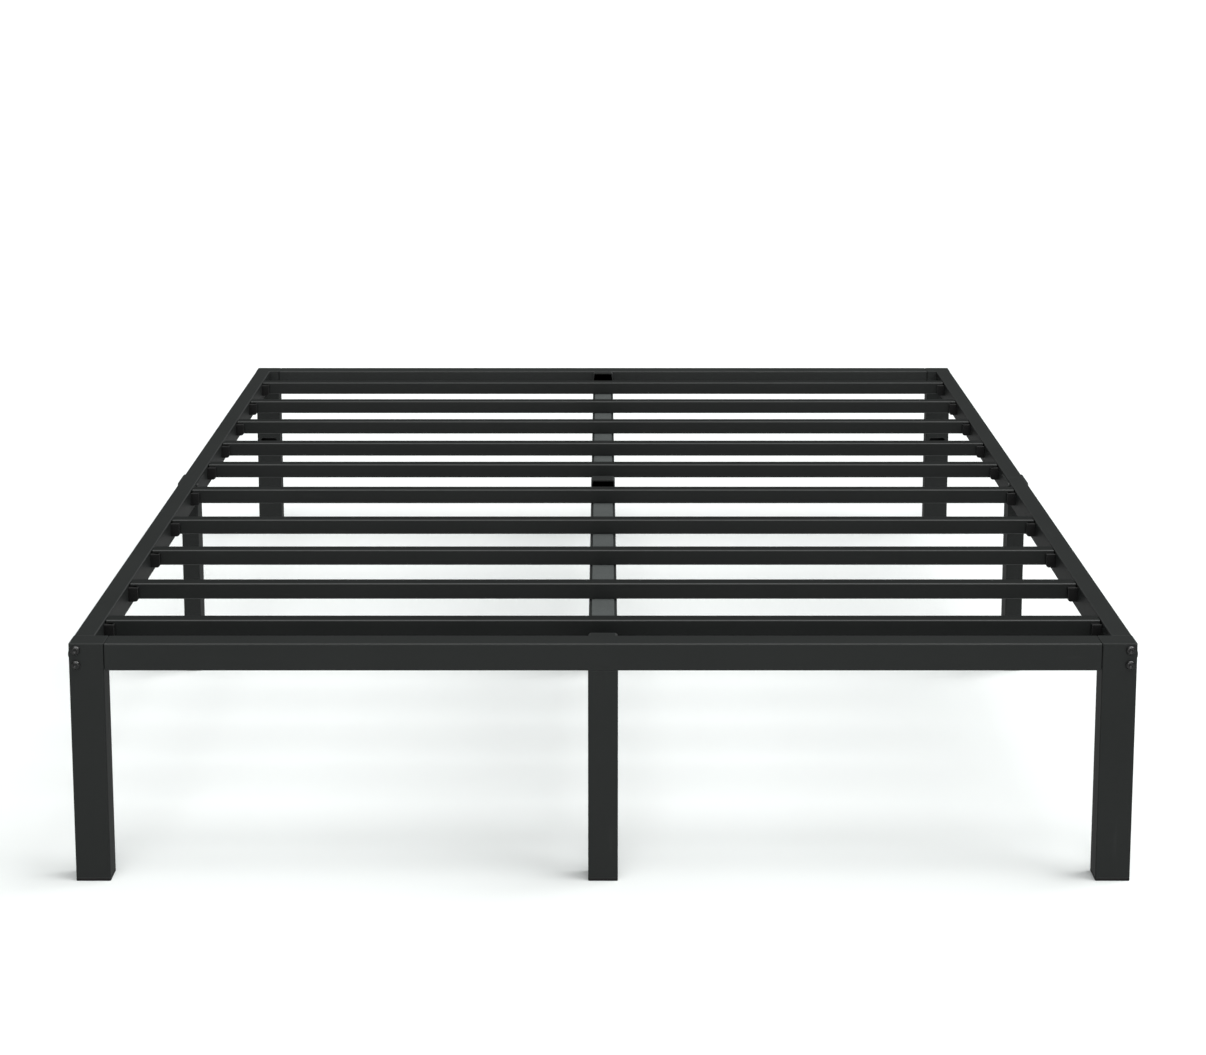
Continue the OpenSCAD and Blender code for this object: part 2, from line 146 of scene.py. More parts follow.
class Graph:
    """One node tree, built through a single node method."""

    def __init__(self, tree: bpy.types.NodeTree) -> None:
        """Empties the tree.

        Args:
            tree: A material's or a world's node tree.
        """
        self.tree = tree
        self.tree.nodes.clear()

    def node(
        self,
        kind: str,
        settings: dict[str, object] | None = None,
        sockets: dict[int | str, Input] | None = None,
        output: int | str = 0,
    ) -> Value:
        """Adds a node.

        Args:
            kind: The node's type.
            settings: Its own settings, such as a Math node's operation.
            sockets: The value or the link of each input, by name or number.
            output: The output to hand back.

        Returns:
            The output, as a value.
        """
        made = self.tree.nodes.new(kind)
        for name, setting in (settings or {}).items():
            setattr(made, name, setting)
        for key, value in (sockets or {}).items():
            if isinstance(value, Value):
                self.tree.links.new(value.socket, made.inputs[key])
            else:
                made.inputs[key].default_value = value
        return Value(self, made.outputs[output])

    def math(self, operation: str, first: Value | float, second: Value | float) -> Value:
        """Adds a Math node of two inputs."""
        return self.node("ShaderNodeMath", {"operation": operation}, {0: first, 1: second})

    def mixed(self, share: Value | float, first: Input, second: Input) -> Value:
        """Blends two colours.

        Args:
            share: How much of the second shows, from 0 to 1.
            first: The colour at 0.
            second: The colour at 1.

        Returns:
            The blended colour.
        """
        sockets = {0: share, 6: first, 7: second}
        return self.node("ShaderNodeMix", {"data_type": "RGBA"}, sockets, 2)

    def place(self, stretch: Sequence[float] = (1.0, 1.0, 1.0)) -> Value:
        """The object's own coordinates, in metres.

        Args:
            stretch: A factor for each axis, below 1 to draw a pattern out along it.

        Returns:
            The coordinates, as a vector.
        """
        spot = self.node("ShaderNodeTexCoord", output="Object")
        return self.node("ShaderNodeVectorMath", {"operation": "MULTIPLY"}, {0: spot, 1: stretch})

    def noise(
        self,
        size: float,
        detail: float = 2.0,
        stretch: Sequence[float] = (1.0, 1.0, 1.0),
    ) -> Value:
        """Cloudy noise from 0 to 1.

        Args:
            size: The size of its largest features, in metres.
            detail: How many finer layers lie on them.
            stretch: A factor for each axis.

        Returns:
            The noise.
        """
        sockets = {"Vector": self.place(stretch), "Scale": 1 / size, "Detail": detail}
        return self.node("ShaderNodeTexNoise", {}, sockets)

    def cells(self, size: float) -> Value:
        """The distance to the nearest of scattered points, from 0 in each cell's middle.

        Args:
            size: The usual width of a cell, in metres.

        Returns:
            The distance, as a share of that width.
        """
        return self.node("ShaderNodeTexVoronoi", {}, {"Vector": self.place(), "Scale": 1 / size})

    def ramp(self, value: Value, low: float, high: float) -> Value:
        """Maps a value from 0 at low to 1 at high, smoothly.

        Args:
            value: The value.
            low: Where the result is 0.
            high: Where the result is 1.

        Returns:
            The result, held between 0 and 1.
        """
        settings = {"interpolation_type": "SMOOTHSTEP"}
        return self.node("ShaderNodeMapRange", settings, {0: value, 1: low, 2: high})

    def relief(self, height: Value, depth: float) -> Value:
        """A normal bent by a height pattern.

        Args:
            height: The pattern, from 0 to 1.
            depth: How high its tallest points stand, in metres.

        Returns:
            The normal.
        """
        return self.node("ShaderNodeBump", {}, {"Height": height, "Distance": depth})

    def lit_edge_mask(self) -> Value:
        """1 on edges and corners, where the finishes paint a highlight, and 0 on whole faces."""
        return self.node("ShaderNodeAttribute", {"attribute_name": LIT_EDGE_MASK}, {}, "Fac")

    def surface(self, sockets: dict[int | str, Input]) -> None:
        """Ends the graph in a Principled shader.

        Args:
            sockets: The shader's inputs, by name.
        """
        shader = self.node("ShaderNodeBsdfPrincipled", {}, sockets)
        self.node_to_output("ShaderNodeOutputMaterial", shader)

    def node_to_output(self, kind: str, shader: Value) -> None:
        """Links a shader to the tree's output.

        Args:
            kind: The output node's type.
            shader: The shader.
        """
        made = self.tree.nodes.new(kind)
        self.tree.links.new(shader.socket, made.inputs["Surface"])


def new_material(name: str) -> tuple[bpy.types.Material, Graph]:
    """Makes a material with an empty graph.

    Args:
        name: The material's name.

    Returns:
        The material and its graph.
    """
    material = bpy.data.materials.new(name)
    material.use_nodes = True
    return material, Graph(material.node_tree)


def grey(level: float, green: float = 1.0, blue: float = 1.0) -> Colour:
    """A near grey, in linear light.

    Args:
        level: Its red.
        green: Green, as a share of red.
        blue: Blue, as a share of red.

    Returns:
        The colour.
    """
    return (level, level * green, level * blue, 1.0)


# Finishes


@dataclass(frozen=True)
class PowderCoat:
    """Baked black powder on steel: orange peel, a film that varies, thinner on broken edges, which are
    painted lighter as a highlight.
    """

    name: str
    dark: float = 0.0135
    light: float = 0.0175
    # The edge colour and its tint: a thinner coat on edges, and a painted highlight.
    edge: float = 0.050
    lit_edge_share: float = 0.72
    tint: Sequence[float] = (1.13, 1.08)
    lit_edge_tint: Sequence[float] = (1.05, 1.03)
    roughness: float = 0.46
    roughness_range: float = 0.10
    specular: float = 0.34
    cloud: float = 130 * MILLIMETRE
    grain: float = 0.42 * MILLIMETRE
    peel: float = 2.6 * MILLIMETRE
    relief: float = 0.016 * MILLIMETRE
    scuff: float = 11 * MILLIMETRE
    scuff_stretch: Sequence[float] = (0.08, 1.0, 1.0)
    scuff_share: float = 0.14

    def material(self) -> bpy.types.Material:
        """Builds the finish.

        Returns:
            The material.
        """
        made, graph = new_material(self.name)
        cloud = graph.noise(self.cloud, 3.0)
        speckle = graph.noise(self.grain, 1.0)
        peel = graph.noise(self.peel, 1.0)
        scuffs = graph.ramp(graph.noise(self.scuff, 4.0, self.scuff_stretch), 0.66, 0.80)
        tone = (cloud * 0.7 + speckle * 0.3).clamped()
        film = graph.mixed(tone, grey(self.dark, *self.tint), grey(self.light, *self.tint))
        # Lighter on edges, partly a thinner coat and partly a painted highlight; the scuffs are real wear.
        worn_and_lit = (graph.lit_edge_mask() * self.lit_edge_share + scuffs * self.scuff_share).clamped()
        colour = graph.mixed(worn_and_lit, film, grey(self.edge, *self.lit_edge_tint))
        roughness = (
            self.roughness
            + (cloud - 0.5) * self.roughness_range
            + (speckle - 0.5) * 0.10
            + scuffs * 0.05
        )
        graph.surface(
            {
                "Base Color": colour,
                "Roughness": roughness,
                "Specular IOR Level": self.specular,
                "Normal": graph.relief(peel * 0.45 + speckle * 0.55, self.relief),
            }
        )
        return made


@dataclass(frozen=True)
class MouldedPlastic:
    """Black nylon with the fine sparked texture of its mould and a painted sheen on its edges."""

    name: str
    dark: float = 0.0030
    light: float = 0.0046
    # The edge colour is a painted sheen.
    edge: float = 0.026
    lit_edge_share: float = 0.6
    roughness: float = 0.55
    specular: float = 0.30
    cloud: float = 20 * MILLIMETRE
    grain: float = 0.30 * MILLIMETRE
    relief: float = 0.022 * MILLIMETRE

    def material(self) -> bpy.types.Material:
        """Builds the finish.

        Returns:
            The material.
        """
        made, graph = new_material(self.name)
        cloud = graph.noise(self.cloud, 3.0)
        texture = graph.noise(self.grain, 2.0)
        body = graph.mixed(cloud, grey(self.dark), grey(self.light))
        # Edges painted lighter: a painted sheen.
        colour = graph.mixed(graph.lit_edge_mask() * self.lit_edge_share, body, grey(self.edge))
        graph.surface(
            {
                "Base Color": colour,
                "Roughness": self.roughness + (texture - 0.5) * 0.16 + (cloud - 0.5) * 0.08,
                "Specular IOR Level": self.specular,
                "Normal": graph.relief(texture, self.relief),
            }
        )
        return made


@dataclass(frozen=True)
class ClosedCellFoam:
    """Grey foam tape: small closed cells, a skin that scatters light, and painted shade in its pores."""

    name: str
    # The pores are painted darker, as shade in the cell hollows.
    pore_shade: float = 0.040
    skin: float = 0.078
    tint: Sequence[float] = (1.10, 1.08)
    roughness: float = 0.92
    specular: float = 0.25
    cloud: float = 40 * MILLIMETRE
    cell: float = 0.9 * MILLIMETRE
    relief: float = 0.14 * MILLIMETRE

    def material(self) -> bpy.types.Material:
        """Builds the finish.

        Returns:
            The material.
        """
        made, graph = new_material(self.name)
        cells = graph.cells(self.cell)
        cloud = graph.noise(self.cloud, 3.0)
        # Darker in the cell hollows: painted shade.
        walls = graph.ramp(cells, 0.10, 0.55)
        tone = (walls * 0.6 + cloud * 0.5).clamped()
        graph.surface(
            {
                "Base Color": graph.mixed(tone, grey(self.pore_shade, *self.tint), grey(self.skin, *self.tint)),
                "Roughness": self.roughness - walls * 0.08,
                "Specular IOR Level": self.specular,
                "Normal": graph.relief(walls, self.relief),
            }
        )
        return made


@dataclass(frozen=True)
class PlatedSteel:
    """Oxide, zinc or oil on steel: a thin mottled layer over metal, brighter on marked edges, where it is
    rubbed and a highlight is painted.
    """

    name: str
    dark: float
    light: float
    # The edge colour: a rubbed layer and a painted highlight.
    edge: float
    green: float = 1.0
    blue: float = 1.0
    metallic: float = 0.8
    roughness: float = 0.36
    mottle: float = 2.4 * MILLIMETRE
    grain: float = 0.5 * MILLIMETRE
    relief: float = 0.006 * MILLIMETRE

    def material(self) -> bpy.types.Material:
        """Builds the finish.

        Returns:
            The material.
        """
        made, graph = new_material(self.name)
        mottle = graph.noise(self.mottle, 3.0)
        grain = graph.noise(self.grain, 2.0)
        layer = graph.mixed(
            graph.ramp(mottle, 0.3, 0.7),
            grey(self.dark, self.green, self.blue),
            grey(self.light, self.green, self.blue),
        )
        # Edges painted brighter: partly a rubbed layer, partly a painted highlight.
        rubbed_and_lit = (graph.lit_edge_mask() * (0.35 + mottle * 0.5)).clamped()
        graph.surface(
            {
                "Base Color": graph.mixed(rubbed_and_lit, layer, grey(self.edge, self.green, self.blue)),
                "Metallic": self.metallic,
                "Roughness": self.roughness + (mottle - 0.5) * 0.22 + (grain - 0.5) * 0.1,
                "Normal": graph.relief(grain, self.relief),
            }
        )
        return made


@dataclass(frozen=True)
class FloorPaint:
    """A plain pale floor, matt, with a barely uneven tone."""

    name: str = "pale_floor"
    tone: float = 0.90
    unevenness: float = 0.012
    tint: Sequence[float] = (1.03, 1.02)
    cloud: float = 0.8
    roughness: float = 0.75
    specular: float = 0.1

    def material(self) -> bpy.types.Material:
        """Builds the finish.

        Returns:
            The material.
        """
        made, graph = new_material(self.name)
        cloud = graph.noise(self.cloud, 3.0)
        low = grey(self.tone - self.unevenness, *self.tint)
        high = grey(self.tone + self.unevenness, *self.tint)
        graph.surface(
            {
                "Base Color": graph.mixed(cloud, low, high),
                "Roughness": self.roughness + (cloud - 0.5) * 0.1,
                "Specular IOR Level": self.specular,
            }
        )
        return made


# Mesh work that the sub-assemblies share


def islands(solid: bmesh.types.BMesh) -> Iterator[list[bmesh.types.BMVert]]:
    """Finds the separate solids of a mesh.

    Args:
        solid: The mesh, with its doubled points merged.

    Yields:
        The points of each solid.
    """
    seen = set()
    for start in solid.verts:
        if start in seen:
            continue
        seen.add(start)
        found, front = [], [start]
        while front:
            vert = front.pop()
            found.append(vert)
            near = [edge.other_vert(vert) for edge in vert.link_edges]
            fresh = [other for other in near if other not in seen]
            seen.update(fresh)
            front += fresh
        yield found


def ring_skin(
    solid: bmesh.types.BMesh,
    rings: Sequence[Sequence[bmesh.types.BMVert]],
    closed: bool,
) -> None:
    """Skins rings of equal length with quads.

    Args:
        solid: The mesh that holds the rings.
        rings: The rings, in order.
        closed: Whether the last ring joins the first.
    """
    pairs = list(zip(rings, rings[1:]))
    if closed:
        pairs.append((rings[-1], rings[0]))
    for low, high in pairs:
        for i, vert in enumerate(low):
            j = (i + 1) % len(low)
            solid.faces.new((vert, low[j], high[j], high[i]))


def lathe(
    solid: bmesh.types.BMesh,
    seat: Matrix,
    rings: Sequence[Ring],
    steps: int,
    closed: bool = False,
) -> None:
    """Builds a closed solid from rings round the seat's z axis.

    Args:
        solid: The mesh to add to.
        seat: Where the solid's own origin and axes lie.
        rings: Each ring's radius and height, as numbers or as rules on the angle.
        steps: How many points each ring has.
        closed: Whether the last ring joins the first, as on a part with a bore.
    """
    made = []
    for radius, height in rings:
        ring = []
        for i in range(steps):
            a = TURN * (i + 0.5) / steps
            r = radius(a) if callable(radius) else radius
            z = height(a) if callable(height) else height
            ring.append(solid.verts.new(seat @ Vector((r * math.cos(a), r * math.sin(a), z))))
        made.append(ring)
    ring_skin(solid, made, closed)
    if not closed:
        solid.faces.new(made[0][::-1])
        solid.faces.new(made[-1])


@dataclass
class SubAssembly:
    """A group of like pieces with one finish, made from the CAD solids they stand for."""

    finish: bpy.types.Material
    slot: Slot
    nodes: tuple[str, ...]
    edge: float = 0.35 * MILLIMETRE
    edge_steps: int = 2
    thin_and_lit_corners: bool = True

    def merged(self, node: str) -> bmesh.types.BMesh:
        """Copies a CAD node's solids as whole faces.

        Args:
            node: The CAD node's name.

        Returns:
            The mesh, with its doubled points merged and its flat faces joined.
        """
        solid = bmesh.new()
        solid.from_mesh(frame["nodes"][node].data)
        bmesh.ops.remove_doubles(solid, verts=solid.verts, dist=MERGE)
        bmesh.ops.dissolve_limit(solid, angle_limit=FLAT_ANGLE, verts=solid.verts, edges=solid.edges)
        solid.normal_update()
        return solid

    def mark_corners(self, solid: bmesh.types.BMesh) -> None:
        """Marks the rounded corners of tubes, which face along no axis, for the finish's thinner coat and
        painted highlight.

        Args:
            solid: The mesh.
        """
        film = solid.loops.layers.float.new(LIT_EDGE_MASK)
        for face in solid.faces:
            if self.thin_and_lit_corners and max(abs(part) for part in face.normal) < ON_AXIS:
                for loop in face.loops:
                    loop[film] = 1.0

    def break_edges(self, solid: bmesh.types.BMesh, reach: float, steps: int) -> None:
        """Rounds the outward edges of a mesh and marks them for the finish's painted highlight.

        Args:
            solid: The mesh.
            reach: How far the rounding runs onto each face.
            steps: How many faces make up the rounding.
        """
        film = solid.loops.layers.float[LIT_EDGE_MASK]
        sharp = [
            edge
            for edge in solid.edges
            if edge.is_manifold and edge.is_convex and edge.calc_face_angle() > SHARP_ANGLE
        ]
        made = bmesh.ops.bevel(
            solid,
            geom=sharp,
            offset=reach,
            offset_type="OFFSET",
            segments=steps,
            profile=0.5,
            affect="EDGES",
            clamp_overlap=False,
        )
        for face in made["faces"]:
            for loop in face.loops:
                loop[film] = 1.0

    def piece(self, solid: bmesh.types.BMesh, name: str, node: str) -> bpy.types.Object:
        """Turns a mesh into a finished piece that moves with a CAD node's body.

        Args:
            solid: The mesh, which is used up.
            name: The piece's name.
            node: The CAD node that gives the body.

        Returns:
            The piece.
        """
        bmesh.ops.recalc_face_normals(solid, faces=solid.faces)
        mesh = bpy.data.meshes.new(name)
        solid.to_mesh(mesh)
        solid.free()
        if "custom_normal" in mesh.attributes:
            mesh.attributes.remove(mesh.attributes["custom_normal"])
        mesh.materials.append(self.finish)
        mesh.shade_smooth()
        mesh.set_sharp_from_angle(angle=SHARP_ANGLE)
        made = bpy.data.objects.new(name, mesh)
        bpy.context.scene.collection.objects.link(made)
        normals = made.modifiers.new("face_normals", "WEIGHTED_NORMAL")
        normals.keep_sharp = True
        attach(made, frame["nodes"][node]["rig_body"])
        LOG.info("%s: %d faces", name, len(mesh.polygons))
        return made

    def shape(self, node: str) -> bmesh.types.BMesh:
        """The visible shape of a node: its CAD solids with broken edges.

        Args:
            node: The CAD node's name.

        Returns:
            The mesh.
        """
        solid = self.merged(node)
        self.mark_corners(solid)
        self.break_edges(solid, self.edge, self.edge_steps)
        return solid

    @staticmethod
    def hold_inside(solid: bmesh.types.BMesh, bounds: tuple[Vector, Vector]) -> None:
        """Pulls back any point that a bevel pushed out of its node's box.

        Args:
            solid: The mesh.
            bounds: The box's lowest and highest corners.
        """
        low, high = bounds
        for vert in solid.verts:
            vert.co = [min(max(vert.co[i], low[i]), high[i]) for i in range(3)]

    def build(self) -> list[bpy.types.Object]:
        """Builds a piece for every node of the sub-assembly.

        Returns:
            The pieces.
        """
        made = []
        for node in self.nodes:
            solid = self.shape(node)
            self.hold_inside(solid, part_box(node))
            piece = self.piece(solid, f"{node}_skin", node)
            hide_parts(node)
            made.append(piece)
        return made


# Legs, rails and slats


@dataclass
class WeldBead:
    """A fillet bead where a tube meets a plate, laid in overlapping ripples."""

    finish: bpy.types.Material
    throat: float = 2.4 * MILLIMETRE
    hollow: float = 1.3
    sink: float = 0.3 * MILLIMETRE
    ripple: float = 1.7 * MILLIMETRE
    ripple_share: float = 0.20
    waver: float = 0.05
    end_size: float = 0.45
    end_rate: float = 12.0
    step: float = 0.42 * MILLIMETRE
    fewest_steps: int = 8
    arc_steps: int = 4
    seed: int = 5

    def outline(self, size: float) -> list[Point]:
        """The bead's section: first number away from the wall, second away from the plate.

        Args:
            size: The length of the bead on each face.

        Returns:
            The section's corners, in order.
        """
        face = [
            (size * math.cos(a) ** self.hollow, size * math.sin(a) ** self.hollow)
            for a in (i * math.pi / 2 / self.arc_steps for i in range(self.arc_steps + 1))
        ]
        return [(-self.sink, -self.sink), (size, -self.sink), *face, (-self.sink, size)]

    def run(
        self,
        solid: bmesh.types.BMesh,
        start: Vector,
        end: Vector,
        wall: Vector,
        away: Vector,
    ) -> None:
        """Lays a straight bead.

        Args:
            solid: The mesh to add to.
            start: Where the corner of wall and plate starts.
            end: Where it ends.
            wall: The way out from the wall.
            away: The way out from the plate.
        """
        shake = random.Random(self.seed + round((start.x + 2 * start.y) / MILLIMETRE))
        length = (end - start).length
        count = max(self.fewest_steps, round(length / self.step))
        rings = []
        for i in range(count + 1):
            along = i / count
            wave = (along * length / self.ripple) % 1.0
            taper = min(1.0, self.end_size + self.end_rate * min(along, 1 - along))
            swell = 1 + self.ripple_share * (wave**2 - 0.5) + self.waver * shake.uniform(-1, 1)
            section = self.outline(self.throat * taper * swell)
            spot = start.lerp(end, along)
            rings.append([solid.verts.new(spot + wall * out + away * down) for out, down in section])
        ring_skin(solid, rings, closed=False)
        solid.faces.new(rings[0][::-1])
        solid.faces.new(rings[-1])


@dataclass
class Uprights(SubAssembly):
    """Legs, whose upright corners carry a full coat and no painted edge highlight."""

    thin_and_lit_corners: bool = False


@dataclass
class SideLegs(Uprights):
    """Middle side legs, each welded under a saddle that takes both halves of a side rail."""

    bead: WeldBead | None = None
    saddle_floor: float = 3 * MILLIMETRE
    corner: float = 2 * MILLIMETRE

    def build(self) -> list[bpy.types.Object]:
        """Builds the legs and the beads under their saddles.

        Returns:
            The pieces.
        """
        made = super().build()
        for node in self.nodes:
            side = node.rsplit("_", 1)[1]
            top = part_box(f"side_rail_head_{side}")[0].z - self.saddle_floor
            solid = bmesh.new()
            for low, high, wall in self.walls(*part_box(f"glide_side_{side}")):
                self.bead.run(solid, Vector((*low, top)), Vector((*high, top)), wall, DOWN)
            made.append(self.piece(solid, f"{node}_weld", node))
        return made

    def walls(self, low: Vector, high: Vector) -> Iterator[tuple[Point, Point, Vector]]:
        """The straight part of each wall of a tube, seen from above.

        Args:
            low: The tube's lowest corner.
            high: Its highest corner.

        Yields:
            The ends of each wall and the way out from it.
        """
        r = self.corner
        for x, way in ((low.x, -1), (high.x, 1)):
            yield (x, low.y + r), (x, high.y - r), Vector((way, 0, 0))
        for y, way in ((low.y, -1), (high.y, 1)):
            yield (low.x + r, y), (high.x - r, y), Vector((0, way, 0))


@dataclass
class MiddleCentreLeg(Uprights):
    """The leg below the beam's joint, with a crown plate welded on its front and back."""

    bead: WeldBead | None = None
    plate: float = 3 * MILLIMETRE
    corner: float = 2 * MILLIMETRE

    def build(self) -> list[bpy.types.Object]:
        """Builds the leg and the beads under its crown plate.

        Returns:
            The pieces.
        """
        made = super().build()
        node = self.nodes[0]
        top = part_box(node)[1].z - self.plate
        low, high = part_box("glide_centre_mid")
        solid = bmesh.new()
        for y, way in ((low.y, -1), (high.y, 1)):
            start = Vector((low.x + self.corner, y, top))
            end = Vector((high.x - self.corner, y, top))
            self.bead.run(solid, start, end, Vector((0, way, 0)), DOWN)
        made.append(self.piece(solid, f"{node}_weld", node))
        return made


@dataclass
class FoamStrips(SubAssembly):
    """Foam tape on the centre beam, level under each slat and a little lower between slats."""

    sag: float = 0.25 * MILLIMETRE
    sag_run: float = 8 * MILLIMETRE
    inset: float = 0.2 * MILLIMETRE
    stray: float = 0.15 * MILLIMETRE
    corner: float = 0.77 * MILLIMETRE
    corner_steps: int = 3
    step: float = 4 * MILLIMETRE
    fill: float = 1.0

    def shape(self, node: str) -> bmesh.types.BMesh:
        """Builds a strip from cross-sections along its length.

        Args:
            node: The CAD node of the strip.

        Returns:
            The mesh.
        """
        low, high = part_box(node)
        shake = random.Random(len(node) + round(low.y))
        count = round((high.y - low.y) / self.step)
        solid = bmesh.new()
        rings = []
        for i in range(count + 1):
            y = low.y + (high.y - low.y) * i / count
            cut = self.edge if i in (0, count) else 0.0
            wander = self.stray * shake.uniform(-1, 1)
            rings.append(self.section(solid, low, high, y, cut, wander))
        ring_skin(solid, rings, closed=False)
        solid.faces.new(rings[0][::-1])
        solid.faces.new(rings[-1])
        return solid

    def section(
        self,
        solid: bmesh.types.BMesh,
        low: Vector,
        high: Vector,
        y: float,
        cut: float,
        wander: float,
    ) -> list[bmesh.types.BMVert]:
        """One cross-section of the strip, with softened top corners.

        Args:
            solid: The mesh to add to.
            low: The strip's lowest corner.
            high: Its highest corner.
            y: Where the section lies.
            cut: How far it draws in, at a cut end.
            wander: How far its side edges stray.

        Returns:
            The section's points, in order.
        """
        r = self.corner
        top = high.z - self.sag * self.slack(y) - cut
        left = low.x + self.inset + wander + cut
        right = high.x - self.inset + wander - cut
        turns = (math.pi / 2 * i / self.corner_steps for i in range(self.corner_steps + 1))
        corner = [(r - r * math.cos(a), r - r * math.sin(a)) for a in turns]
        points = [(left, low.z), *[(left + x, top - z) for x, z in corner]]
        points += [(left + (right - left) * t, top) for t in (0.25, 0.5, 0.75)]
        points += [(right - x, top - z) for x, z in reversed(corner)]
        points.append((right, low.z))
        return [solid.verts.new((x, y, z)) for x, z in points]

    def build(self) -> list[bpy.types.Object]:
        """Returns:
            The pieces.
        """
        made = super().build()
        return made

    def slack(self, y: float) -> float:
        """How much of its sag the foam has at a place: 0 under a slat, 1 between slats.

        Args:
            y: The place along the bed.

        Returns:
            The share of the sag.
        """
        gaps = []
        for name in sorted(frame["nodes"]):
            if name.startswith("slat_") and name[-1].isdigit():
                low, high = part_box(name)
                gaps.append(max(low.y - y, y - high.y, 0.0))
        return min(1.0, min(gaps) / self.sag_run)


@dataclass
class EndRails(SubAssembly):
    """Foot and head rails, whose ends are eased so that a joint line shows beside each leg."""

    edge: float = 0.15 * MILLIMETRE
    edge_steps: int = 1
    ease: float = 0.8 * MILLIMETRE
    ease_steps: int = 3
    joint_line: float = 0.7 * MILLIMETRE
    corner: float = 2.5 * MILLIMETRE
    corner_share: float = 0.3

    def shape(self, node: str) -> bmesh.types.BMesh:
        """Draws both ends back by the joint line, eases their outer edges and breaks the others.

        Args:
            node: The CAD node's name.

        Returns:
            The mesh.
        """
        solid = self.merged(node)
        self.mark_corners(solid)
        low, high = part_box(node)
        middle = (low + high) / 2
        reach = (high - low) / 2
        ends = [vert for vert in solid.verts if abs(abs(vert.co.x - middle.x) - reach.x) < MERGE]
        outline = {vert for vert in ends if self.on_outline(vert.co - middle, reach)}
        outer = [edge for edge in solid.edges if outline.issuperset(edge.verts)]
        for vert in ends:
            vert.co.x -= math.copysign(self.joint_line, vert.co.x - middle.x)
        bmesh.ops.bevel(
            solid,
            geom=outer,
            offset=self.ease,
            offset_type="OFFSET",
            segments=self.ease_steps,
            profile=0.5,
            affect="EDGES",
            clamp_overlap=False,
        )
        self.break_edges(solid, self.edge, self.edge_steps)
        return solid

    def on_outline(self, spot: Vector, reach: Vector) -> bool:
        """Whether a point of an end lies on the tube's outer outline, rounded corners included.

        Args:
            spot: The point, from the tube's middle.
            reach: Half the tube's size along each axis.

        Returns:
            Whether it does.
        """
        y, z = reach.y - abs(spot.y), reach.z - abs(spot.z)
        near, far = sorted((y, z))
        return near < MERGE or (far < self.corner and near < self.corner_share * self.corner)


# Fasteners


@dataclass(frozen=True)
class Seat:
    """Where a fastener sits: z runs out of its head, from the face that the head bears on."""

    matrix: Matrix
    length: float


@dataclass
class Fasteners(SubAssembly):
    """Like fasteners, each built anew where the CAD node has one."""

    steps: int = 48

    def solids(self, node: str) -> list[tuple[Vector, Vector, list[Vector]]]:
        """The separate solids of a node.

        Args:
            node: The CAD node's name.

        Returns:
            The lowest corner, the highest corner and the points of each solid.
        """
        solid = self.merged(node)
        found = []
        for verts in islands(solid):
            points = [vert.co.copy() for vert in verts]
            low = Vector([min(p[i] for p in points) for i in range(3)])
            high = Vector([max(p[i] for p in points) for i in range(3)])
            found.append((low, high, points))
        solid.free()
        return found

    @staticmethod
    def facing(axis: int, way: int, origin: Vector) -> Matrix:
        """A place whose z axis lies along one of the frame's axes.

        Args:
            axis: 0, 1 or 2 for x, y or z.
            way: 1 or -1 along that axis.
            origin: The place's origin.

        Returns:
            The matrix of the place.
        """
        out = Vector((0, 0, 0))
        out[axis] = way
        return Matrix.Translation(origin) @ out.to_track_quat("Z", "Y").to_matrix().to_4x4()


